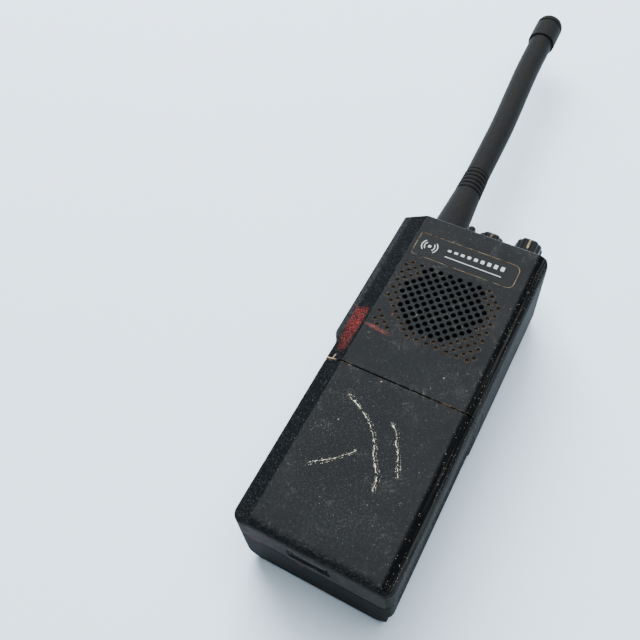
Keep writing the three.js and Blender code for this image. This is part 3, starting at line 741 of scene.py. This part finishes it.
def deck_cutter():
    """Round holes in the top deck for the controls, the antenna and the lamp."""
    cutter = Solid()
    round_pieces = [("volume_knob", 3.9), ("channel_knob", 3.9), ("antenna_bushing", 4.9), ("led_lens", 2.0)]
    for node, radius in round_pieces:
        span = Span(node)
        cutter.stack("y", growing_circle(span.x, span.z, radius, 32), hole(HEIGHT, 0.25, HEIGHT - WALL - 1))
    return cutter.object("deck cutter", inside_look)


def shoulder_cutter():
    """Rounds the top right corner as seen from the front."""
    radius = 3.4
    cx, cy = RIGHT - radius, HEIGHT - radius
    outline = [(RIGHT + 2, cy), *bend(cx, cy, radius, 0, 90, 12), (cx, HEIGHT + 2), (RIGHT + 2, HEIGHT + 2)]
    cutter = Solid().loft([[(x, y, z) for x, y in outline] for z in (-1, DEPTH + 1)])
    return cutter.object("shoulder", housing_look)


def radio_shell(name, low, room_low, look):
    """A hollow body in the radio's outline, up to the deck."""
    body = Solid().loft(shell_skin(low, HEIGHT, even(0.35), even(1.1), RADIO_WAIST)).object(name, look)
    room = Solid().loft([[(x, y, z) for x, z in section(WALL)] for y in (room_low, HEIGHT - WALL)])
    cut(body, room, inside_look)
    return body


def latch_slot(low, high):
    """Passage for the bar of the latch."""
    latch = Span("battery_latch")
    return Solid().block(latch.x0 - 1, latch.x1 + 1, low, high, latch.z1 - 2.1, latch.z1 + 0.4)


def make_front_housing():
    body = radio_shell("radio_front_housing", housing.y0, housing.y0 + WALL, housing_look)
    for y1, z1 in ((REAR_SEAM_Y + GAP / 2, PARTING_Z + GAP / 2), (HEIGHT + FAR, COVER_Z)):
        cut(body, Solid().block(LEFT - FAR, RIGHT + FAR, housing.y0 - FAR, y1, -FAR, z1), housing_look)
    cut(body, latch_slot(housing.y0 - 1, housing.y0 + WALL + 1), inside_look)
    for cutter in (*front_cutters(), deck_cutter(), grille_cutter(), shoulder_cutter()):
        combine(body, cutter)
    finish_piece(body, "radio", "housing", "front_housing")


def foot_round(z):
    """The edge of the pack's bottom end is soft in front and tighter at the back."""
    return 3.0 + 0.9 * min(max((z - 6) / (PARTING_Z - 10), 0.0), 1.0)


def pack_shell(name, top, wall):
    """A hollow body in the pack's outline."""
    body = Solid().loft(shell_skin(0, top, foot_round, even(0.35), PACK_WAIST)).object(name, pack_look)
    room = Solid().loft(shell_skin(WALL, top - WALL, even(1.4), even(0.3), PACK_WAIST, wall))
    cut(body, room, inside_look)
    return body


def make_pack_front():
    body = pack_shell("pack_front_shell", pack_front.y1, WALL)
    low, step_x = PARTING_Z + GAP / 2, SEAM_STEP["x"]
    for x0, x1, y0, y1, z1 in (
            (LEFT - FAR, RIGHT + FAR, WALL, HEIGHT, low),
            (LEFT - FAR, step_x, -FAR, WALL + 0.01, low),
            (step_x - 0.01, RIGHT + FAR, -FAR, WALL + 0.02, low - SEAM_STEP["drop"])):
        cut(body, Solid().block(x0, x1, y0, y1, -FAR, z1), pack_look)
    x0, x1, z0, z1 = SLOT
    margin, sunk = 1.0, 0.4
    opening = growing_box(x0, x1, z0, z1, 0.6)
    cut(body, Solid().stack("y", opening, hole(sunk, 0.3, WALL + 1)), deep_look)
    recess = growing_box(x0 - margin, x1 + margin, z0 - margin, z1 + margin, 0.8)
    cut(body, Solid().stack("y", recess, hole(0, 0.15, sunk)), pack_look)
    cut(body, latch_slot(pack_front.y1 - WALL - 1, pack_front.y1 + 1), inside_look)
    finish_piece(body, "battery", "pack_shell", "battery_front_shell")


def side_grooves():
    """Lengthwise grooves that leave ribs standing on both sides of the pack."""
    cutter = Solid()
    low, high = RIBS["low"], REAR_SEAM_Y - RIBS["stop"]
    for wall in (WAIST_LEFT, RIGHT):
        for index in range(RIBS["count"]):
            z = RIBS["first"] + index * RIBS["pitch"]
            cutter.stack(
                "y", lambda growth: [(wall + (RIBS["depth"] + growth) * x, z + (RIBS["half"] + growth) * y)
                                     for x, y in circle(0, 0, 1, 12)],
                [(low, -0.5), (low + 0.5, -0.15), (low + 1.3, 0),
                 (high - 1.3, 0), (high - 0.5, -0.15), (high, -0.5)])
    return cutter.object("grooves", pack_look)


def belly_cutter():
    """What the narrower belly leaves free below the ribbed sides."""
    top, inset, radius = BELLY["top"], BELLY["inset"], BELLY["radius"]
    end = PACK_WAIST[0]
    around = Solid().block(LEFT - FAR, RIGHT + FAR, -FAR, end, -FAR, top).object("around", pack_look)
    keep = Solid().stack("y", growing_box(WAIST_LEFT + inset, RIGHT - inset, 0, top + FAR, radius, steps=8),
                         [(-FAR - 1, 0), (end + 1, 0)])
    return combine(around, keep.object("keep", pack_look))


def make_pack_rear():
    body = pack_shell("pack_rear_shell", pack_rear.y1, WALL + 1.6)
    high = PARTING_Z - GAP / 2
    for x0, y1, z0 in ((LEFT - FAR, HEIGHT, high), (SEAM_STEP["x"], WALL + 0.3, high - SEAM_STEP["drop"])):
        cut(body, Solid().block(x0, RIGHT + FAR, -FAR, y1, z0, DEPTH + FAR), pack_look)
    combine(body, side_grooves())
    combine(body, belly_cutter())
    top = pack_rear.y1
    floor = top - WALL - 2.6
    sockets = Solid()
    for x in (-TONGUE["x"], TONGUE["x"]):
        sockets.block(x - 3.5, x + 3.5, floor, top + 1, TONGUE["z"] - 0.5, TONGUE["z"] + 2.7)
    for index in (1, 2, 3):
        contact, pad = Span(f"radio_contact_{index}"), Span(f"charge_contact_{index}")
        sockets.stack("y", growing_circle(contact.x, contact.z, 1.8, 20), [(floor, 0), (top + 1, 0)])
        window = growing_box(pad.x0 - GAP, pad.x1 + GAP, pad.y0 - GAP, pad.y1 + GAP, 0.6)
        sockets.stack("z", window, hole(0, 0.2, 0.9))
    cut(body, sockets, inside_look)
    finish_piece(body, "battery", "pack_shell", "battery_rear_shell")


def make_cover():
    """Rear cover with sunk screw heads and a blank panel for a label."""
    body = radio_shell("radio_rear_cover", cover.y0, cover.y0 - 1, cover_look)
    cut(body, Solid().block(LEFT - FAR, RIGHT + FAR, 0, HEIGHT + FAR, cover.z1, DEPTH + FAR), cover_look)
    tools = Solid()
    for index in (1, 2, 3, 4):
        screw = Span(f"housing_screw_{index}")
        tools.stack("z", growing_circle(screw.x, screw.y, 1.5, 32),
                    [(-1, 1.6), (0, 1.6), (0.2, 1.4), (1.2, 1.4), (1.25, 0), (4, 0)])
    tools.stack("z", growing_box(-17, 17, 92, 121, 1.5, steps=6), hole(0, 0.2, 0.3))
    cut(body, tools, cover_look)
    finish_piece(body, "radio", "housing", "rear_cover")


def make_latch_spring():
    """The coil spring behind the latch, built at one length; the real one shortens as the latch is pressed.
    """
    span = Span("latch_spring")
    wire, turns, steps = 0.24, 4.5, 90
    coil = (span.x1 - span.x0) / 2 - wire
    low, high = span.y0 + wire, span.y1 - wire
    rings = []
    for angle, y in zip(frange(0, 2 * math.pi * turns, steps), frange(low, high, steps)):
        rings.append([(span.x + reach * math.cos(angle), y + lift, span.z + reach * math.sin(angle))
                      for reach, lift in circle(coil, 0, wire, 8)])
    spring = Solid().loft(rings).object("latch_coil_spring", steel_look)
    finish_piece(spring, "battery", "steel", "latch_spring")
    at(span.x, span.y1, span.z)
    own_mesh(spring)


def make_screw(index):
    """A countersunk screw with a cross recess, its head at the back."""
    span = Span(f"housing_screw_{index}")
    x, y = span.x, span.y
    levels = [(0.1, -0.55), (0.16, -0.25), (0.3, -0.05), (0.5, 0), (0.9, 0), (1.0, -1.3), (12, -1.3)]
    screw = Solid().stack("z", growing_circle(x, y, 2.5, 40), levels)
    screw = screw.object(f"cover_screw_{index}", steel_look)
    for half_x, half_y in ((0.32, 1.35), (1.35, 0.32)):
        bar = growing_box(x - half_x, x + half_x, y - half_y, y + half_y, 0.15, steps=2)
        cut(screw, Solid().stack("z", bar, [(-1, 0), (0.62, 0)]), steel_look)
    finish_piece(screw, "radio", "steel", f"housing_screw_{index}")


# ---- Nameplate ----


def printed(solid, outline):
    """A thin printed shape on the plate."""
    solid.loft([[(x, y, z) for x, y in outline] for z in (PLATE_TOP - 0.02, DEPTH)])


def arc_band(cx, cy, radius, width, start, end, steps=10):
    """Outline of a piece of a ring, angles in degrees from +X."""
    return bend(cx, cy, radius + width, start, end, steps) + bend(cx, cy, radius, end, start, steps)


def make_nameplate():
    """Satin plate with a plain wave sign and a row of bars, in a groove filled with dirt."""
    edge = 0.12
    body = Solid().stack("z", plate_outline, [(plate.z0, 0), (PLATE_TOP - edge, 0),
                                              (PLATE_TOP - edge / 3, -edge / 3), (PLATE_TOP, -edge)])
    finish_piece(body.object("nameplate_body", plate_look), "radio", "trim", "nameplate")
    marks = Solid()
    x, y = plate.x0 + 5.2, plate.y
    printed(marks, circle(x, y, 0.65, 20))
    for radius in (1.8, 2.9):
        printed(marks, arc_band(x, y, radius, 0.38, -48, 48))
        printed(marks, arc_band(x, y, radius, 0.38, 132, 228))
    for index in range(9):
        left = x + 7 + index * 2.6
        printed(marks, growing_box(left, left + 1.4, y + 0.6, y + 1.5 + 0.14 * index, 0.2, steps=3)(0))
    printed(marks, growing_box(x + 7, x + 29.2, y - 2.2, y - 1.85, 0.17, steps=4)(0))
    finish_piece(marks.object("nameplate_print", print_look), "radio", "trim")
    wide, low, high = PLATE_GROOVE, DEPTH - 0.85, DEPTH - 0.16
    dirt = Solid().hoop([[(a, b, z) for a, b in plate_outline(growth)]
                         for growth, z in ((wide, low), (wide, high), (0.0, high), (0.0, low))])
    finish_piece(dirt.object("nameplate_border", border_look), "radio", "trim")


# ---- Side panel and keys ----


def bezier(p0, p1, p2, p3, steps):
    points = []
    for step in range(steps):
        t = step / steps
        weights = ((1 - t) ** 3, 3 * t * (1 - t) ** 2, 3 * t * t * (1 - t), t ** 3)
        points.append(tuple(sum(w * p[axis] for w, p in zip(weights, (p0, p1, p2, p3))) for axis in (0, 1)))
    return points


def leaf(key, grow=0.0, steps=18):
    """Leaf outline in (y, z) with two pointed and two full corners."""
    y, z = key["y"], key["z"]
    share_z = 1 + grow / key["tip"][1]
    share_y = 1 + grow / max(key["tip"])
    tip, reach, swell = ((along * share_y, across * share_z)
                         for along, across in (key["tip"], key["reach"], key["swell"]))
    points = []
    for side in (1, -1):
        points += bezier(*((y + sign * side * point[0], z + sign * side * point[1])
                           for point, sign in ((tip, -1), (reach, 1), (swell, 1), (tip, 1))), steps)
    return points


def make_side_panel():
    edge = 0.25
    body = Solid().stack(
        "x", growing_box(panel.y0, panel.y1, panel.z0, panel.z1, 1.7, steps=8),
        [(panel.x0, -edge), (panel.x0 + edge * 0.4, -edge * 0.3), (panel.x0 + edge, 0), (panel.x1, 0)])
    body = body.object("side_panel_frame", panel_look)
    holes, arcs = Solid(), Solid()
    for key in KEYS.values():
        holes.stack("x", lambda growth: leaf(key, GAP + growth), hole(panel.x0, edge, panel.x1 + 1))
        radius, shift = (9.5, key["tip"][0] - 7) if key["tip"][0] > 5 else (6.3, 0)
        band = arc_band(key["y"] + shift, key["z"] - 1.2, radius, 0.7, 62, 118, 12)
        arcs.stack("x", lambda growth: band, [(panel.x0 - 1, 0), (panel.x0 + 0.45, 0)])
    cut(body, holes, panel_look)
    cut(body, arcs, deep_look)
    finish_piece(body, "radio", "trim", "side_panel")


def make_key(name, key):
    """A crowned rubber key on its flange."""
    node = Span(name)
    rise = 0.78
    crown = [(0.0, 1.0), (0.10, 0.985), (0.28, 0.94), (0.5, 0.84), (0.66, 0.62), (0.72, 0.3)]
    cy, cz = key["y"], key["z"]

    def ring(x, share, grow=0.0):
        return [(x, cy + (y - cy) * share, cz + (z - cz) * share) for y, z in leaf(key, grow)]

    rings = [ring(node.x1, 1.0, 1.0), ring(node.x1 - 0.8, 1.0, 1.0), ring(node.x1 - 0.8, 1.0)]
    rings += [ring(node.x0 + rise * (1 - lift / crown[-1][0]), share) for lift, share in crown]
    body = Solid().loft(rings)
    finish_piece(body.object(name + "_cap", key_look), name, "key_rubber", name)


# ---- Knobs and lamp ----

KNOB = {
    "sides": 144, "flutes": 12, "radius": 5.3, "flute": 0.34, "hollow": 3.9,
    "mark": 0.55, "mark_half": 5.2,                # depth of the pointer mark, and half its width in degrees
}


def knob_ring(x, y, radius, flute, pointer=0.0):
    """One ring of a fluted knob; pointer sinks the mark that faces the front."""
    ring = []
    for angle in frange(0, 2 * math.pi, KNOB["sides"])[:-1]:
        reach = radius + flute * min(max(1.7 * math.cos(KNOB["flutes"] * angle), -1.0), 1.0)
        if min(angle, 2 * math.pi - angle) < math.radians(KNOB["mark_half"]):
            reach = radius + flute - pointer
        ring.append((x + reach * math.sin(angle), y, CONTROL_Z + reach * math.cos(angle)))
    return ring


def make_knob(name):
    span = Span(name)
    x, base, top = span.x, span.y0, span.y1
    radius, flute, hollow, mark = (KNOB[part] for part in ("radius", "flute", "hollow", "mark"))
    profile = [(base + 2.7, 0.2, 0), (base + 2.7, hollow, 0), (base, hollow, 0),
               (base, radius - 0.25, flute), (base + 0.3, radius, flute)]
    profile += [(top - below, radius - less, flute * share, pointer) for below, less, share, pointer in (
        (7, 0, 1, 0), (6.9, 0, 1, mark), (2.0, 0.1, 1, mark), (1.4, 0.4, 0.8, mark), (0.7, 1.0, 0.5, mark),
        (0.2, 1.7, 0, mark * 0.6), (0, 2.3, 0, 0.15), (0, 2.6, 0, 0), (0.35, 2.9, 0, 0),
        (0.35, radius - 0.2, 0, 0))]
    body = Solid().loft([knob_ring(x, *point) for point in profile])
    body = body.object(name + "_body", knob_look, groove_look)
    for polygon in body.data.polygons:
        place = polygon.center / MM
        across, lift = place.x - x, place.z - CONTROL_Z
        in_mark = abs(across) < 0.36 and lift > 2.4 and top - 6.95 < place.y + HALF_HEIGHT < top - 0.1
        polygon.material_index = 1 if in_mark else 0
    finish_piece(body, name, "trim", name)


def make_lamp():
    span = Span("led_lens")
    base, top = span.y0, span.y1
    lens = Solid().stack("y", growing_circle(span.x, span.z, 1.7, 32), [
        (base, 0.8), (base + 1.4, 0.8), (base + 1.4, 0), (top - 1.2, 0),
        (top - 0.7, -0.12), (top - 0.3, -0.45), (top - 0.08, -0.9), (top, -1.4)])
    finish_piece(lens.object("status_lamp", lens_look), "radio", "lens", "led_lens")


# ---- Antenna ----

ANTENNA = {
    "x": -15.0, "shoulder": 150.0, "neck": 168.4, "rib_top": 180.0, "ribs": 5, "rib_depth": 0.55,
    "base_radius": 7.4, "shoulder_radius": 6.9, "neck_radius": 5.75, "whip_low": 5.2, "whip_high": 5.5,
    "bore": 3.4, "cap_radius": 6.4,
}
LEAN = {"start": 150.0, "slope": 0.033, "bend_low": 205.0, "bend_high": 262.0, "bend": 1.9}
ANTENNA_SIDES = 56


def antenna_ring(y, radius):
    """A ring round the antenna's axis, which leans and bends to the left."""
    bent = LEAN["bend"] * ease(y, LEAN["bend_low"], LEAN["bend_high"])
    lean = LEAN["slope"] * max(0.0, y - LEAN["start"]) + bent
    return [(x, y, z) for x, z in circle(ANTENNA["x"] - lean, CONTROL_Z, radius, ANTENNA_SIDES)]


def make_sheath():
    """The moulded cone, the rings at its neck and the whip, as one tube."""
    neck, neck_radius, rib_top, ribs, slim = (
        ANTENNA[part] for part in ("neck", "neck_radius", "rib_top", "ribs", "whip_low"))
    base, full = ANTENNA["base_radius"], ANTENNA["whip_high"]
    profile = [(sheath.y0, base - 0.3), (sheath.y0 + 0.3, base),
               (ANTENNA["shoulder"], ANTENNA["shoulder_radius"]),
               (neck - 0.4, neck_radius), (neck, neck_radius - 0.1)]
    pitch = (rib_top - neck) / ribs
    depth = ANTENNA["rib_depth"]
    wave = ((0.08, 0.15 - depth), (0.14, -depth), (0.34, -depth), (0.42, 0.3 - depth),
            (0.55, -0.06), (0.72, 0), (0.88, -0.04), (1, -0.2))
    for rib in range(ribs):
        crest = neck_radius - (rib + 1) * (neck_radius - slim) / (ribs + 1) + 0.1
        profile += [(neck + (rib + share) * pitch, crest + rise) for share, rise in wave]
    profile += [(rib_top + 0.1, slim - 0.4), (rib_top + 0.5, slim - 0.35), (rib_top + 0.9, slim)]
    profile += [(rib_top + share * (sheath.y1 - rib_top), slim + share * (full - slim))
                for share in frange(0.05, 1, 16)]
    profile += [(y, ANTENNA["bore"]) for y in (sheath.y1, *frange(262, 205, 8), 150, sheath.y0)]
    body = Solid().hoop([antenna_ring(*point) for point in profile])
    finish_piece(body.object("antenna_rubber", sheath_look), "antenna", "sheath", "antenna_sheath")


def make_cap():
    """End cap: a stepped lower edge, a groove near the top and a domed end."""
    radius, low, top = ANTENNA["cap_radius"], cap.y0, cap.y1
    inner = ANTENNA["whip_high"] + GAP
    profile = [(sheath.y1 + GAP, 0.3), (sheath.y1 + GAP, inner), (low, inner), (low, radius - 0.25),
               (low + 0.3, radius - 0.06), (low + 0.7, radius)]
    profile += [(top - below, radius - less) for below, less in (
        (5.4, 0), (5.2, 0.12), (4.9, 0.5), (4.6, 0.5), (4.4, 0.1), (4.1, 0), (2.6, 0.05),
        (1.7, 0.35), (1.0, 0.9), (0.45, 1.9), (0.12, 3.3), (0, 5.2))]
    body = Solid().loft([antenna_ring(*point) for point in profile])
    finish_piece(body.object("antenna_end_cap", sheath_look), "antenna", "sheath", "antenna_cap")


make_front_housing()
make_pack_front()
make_pack_rear()
make_cover()
for screw_index in (1, 2, 3, 4):
    make_screw(screw_index)
make_latch_spring()
make_nameplate()
make_side_panel()
for key_name, key_form in KEYS.items():
    make_key(key_name, key_form)
for knob_name in ("volume_knob", "channel_knob"):
    make_knob(knob_name)
make_lamp()
make_sheath()
make_cap()

# ---- Materials of the CAD nodes that stay ----

NODE_LOOKS = {
    "housing": housing_look, "pack_shell": pack_look, "key_rubber": key_look, "sheath": sheath_look,
    "steel": steel_look, "lens": lens_look,
    "trim": plain("satin trim", (0.010, 0.011, 0.012), 0.34, grain=2.5, spread=0.2),
    "brass": plain("turned brass", (0.6, 0.42, 0.18), 0.3, 1.0),
    "tin": plain("tinned screen", (0.6, 0.6, 0.6), 0.35, 1.0),
    "cast": plain("cast alloy", (0.5, 0.51, 0.53), 0.5, 1.0),
    "board": plain("circuit board", (0.015, 0.1, 0.05), 0.45),
    "felt": plain("acoustic felt", (0.012, 0.012, 0.012), 0.95, grain=6.0, spread=0.5, depth=0.1),
    "package": plain("chip package", (0.02, 0.02, 0.02), 0.6),
    "cell_wrap": plain("cell wrap", (0.03, 0.08, 0.2), 0.35),
}
for subpart in frame["record"]["subparts"]:
    node = frame["nodes"][subpart["node"]]
    node.data.materials.clear()
    hidden_in_slot = subpart["node"] == "battery_latch"
    node.data.materials.append(panel_look if hidden_in_slot else NODE_LOOKS[subpart["material_slot"]])

# ---- Stage, light and camera ----

# The room is bright overhead and dim towards the horizon.
WORLD = {"colour": (0.88, 0.95, 1.0), "bright": (-0.25, 0.35, 0.90), "levels": (0.62, 0.92, 0.34, 0.76)}
AZIMUTH, ELEVATION, ROLL = 34.586, 57.084, -7.376
CAMERA = {"place": (49.51, -47.37, 272.87), "lens": 43.05,
          "turns": (("Z", AZIMUTH), ("X", 90 - ELEVATION), ("Z", ROLL))}


def make_floor():
    look = Look("floor")
    cloud = look.noise(0.01, 2.0, 0.5)
    look.set(Base_Color=look.mix(cloud, (0.655, 0.80, 0.93), (0.685, 0.82, 0.95)), Roughness=0.8)
    look.bump(look.noise(0.8, 3.0, 0.6), 0.02)
    mesh = bpy.data.meshes.new("floor")
    reach = 3.0
    mesh.from_pydata([(-reach, -reach, 0), (reach, -reach, 0), (reach, reach, 0), (-reach, reach, 0)], [],
                     [(0, 1, 2, 3)])
    mesh.materials.append(look.material)
    link("floor", mesh)


def make_light(name, place, side, power):
    """A soft square lamp that shines on the middle of the radio."""
    lamp = bpy.data.lights.new(name, "AREA")
    lamp.size = side
    lamp.energy = power
    holder = link(name, lamp)
    holder.visible_glossy = False                 # reflections come from the room alone
    holder.location = place
    holder.rotation_euler = (Vector(place) - Vector((0, 0.05, 0))).to_track_quat("Z", "Y").to_euler()


def make_world():
    world = bpy.data.worlds.new("studio")
    bpy.context.scene.world = world
    world.use_nodes = True
    tree = world.node_tree
    background = tree.nodes["Background"]
    direction = add_node(tree, "TexCoord").outputs["Generated"]
    bright = Vector(WORLD["bright"]).normalized()
    facing = add_node(tree, "VectorMath", direction, bright, operation="DOT_PRODUCT").outputs["Value"]
    put(tree, background.inputs["Strength"], smooth_step(tree, facing, *WORLD["levels"]))
    put(tree, background.inputs["Color"], WORLD["colour"])


def make_camera():
    camera = bpy.data.cameras.new("camera")
    camera.lens = CAMERA["lens"]
    camera.sensor_width = 36
    camera.clip_start, camera.clip_end = 0.01, 20
    holder = link("camera", camera)
    holder.matrix_world = Matrix.Translation(at(*CAMERA["place"]))
    for axis, degrees in CAMERA["turns"]:
        holder.matrix_world @= Matrix.Rotation(math.radians(degrees), 4, axis)
    bpy.context.scene.camera = holder


make_floor()
make_world()
make_light("window", (-0.8, 1.0, 1.2), 1.3, 94)
make_light("ceiling", (0.2, 0.3, 1.5), 1.2, 30)
make_camera()
